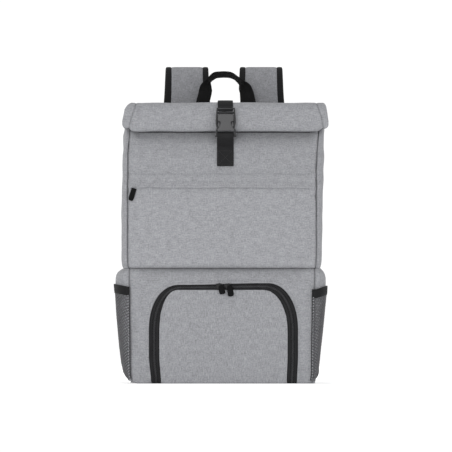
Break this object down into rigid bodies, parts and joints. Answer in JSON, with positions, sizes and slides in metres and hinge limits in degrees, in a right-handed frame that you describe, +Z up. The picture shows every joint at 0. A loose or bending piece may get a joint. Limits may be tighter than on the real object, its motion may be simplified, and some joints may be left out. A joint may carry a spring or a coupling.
{
  "type": "roll-top backpack",
  "caption": "Roll-top backpack with an arched zip door below, mesh side pockets, buckle strap and padded shoulder straps.",
  "frame": {"origin": "middle of the base panel's underside, on the floor the pack stands on", "axes": "+Z up, +Y towards the padded back panel and shoulder straps, +X to the right seen from the front"},
  "size_m": [0.3284, 0.2505, 0.4743],
  "materials": {
    "grey_fabric": "heather grey woven polyester, matt",
    "black_webbing": "ribbed black webbing",
    "black_binding": "black binding tape and elastic",
    "grey_net": "dark grey net",
    "black_zip": "black zip tape, coil and pulls",
    "black_plastic": "moulded black plastic, half gloss",
    "back_fabric": "black padded air mesh"
  },
  "bodies": {
    "root": {"anchor_strap": "black_webbing", "back_panel": "back_fabric", "base_panel": "grey_fabric", "buckle_socket": "black_plastic", "buckle_tongue": "black_plastic", "compartment_divider": "grey_fabric", "compartment_door": "grey_fabric", "door_pull_left": "black_zip", "door_pull_right": "black_zip", "door_slider_left": "black_zip", "door_slider_right": "black_zip", "door_zip": "black_zip", "front_pocket_panel": "grey_fabric", "grab_handle": "black_webbing", "lower_front_panel": "grey_fabric", "lower_gusset_left": "grey_fabric", "lower_gusset_right": "grey_fabric", "mesh_pocket_left": "grey_net", "mesh_pocket_right": "grey_net", "pocket_band_left": "black_binding", "pocket_band_right": "black_binding", "pocket_flap": "grey_fabric", "pocket_pull": "black_zip", "roll_top": "grey_fabric", "shoulder_strap_left": "grey_fabric", "shoulder_strap_right": "grey_fabric", "strap_adjuster_left": "black_plastic", "strap_adjuster_right": "black_plastic", "strap_binding_left_inner": "black_binding", "strap_binding_left_outer": "black_binding", "strap_binding_right_inner": "black_binding", "strap_binding_right_outer": "black_binding", "strap_tab_left": "black_webbing", "strap_tab_right": "black_webbing", "strap_tail_left": "black_webbing", "strap_tail_right": "black_webbing", "top_panel": "grey_fabric", "top_strap": "black_webbing", "upper_front_panel": "grey_fabric", "upper_gusset_left": "grey_fabric", "upper_gusset_right": "grey_fabric"}
  },
  "joints": []
}
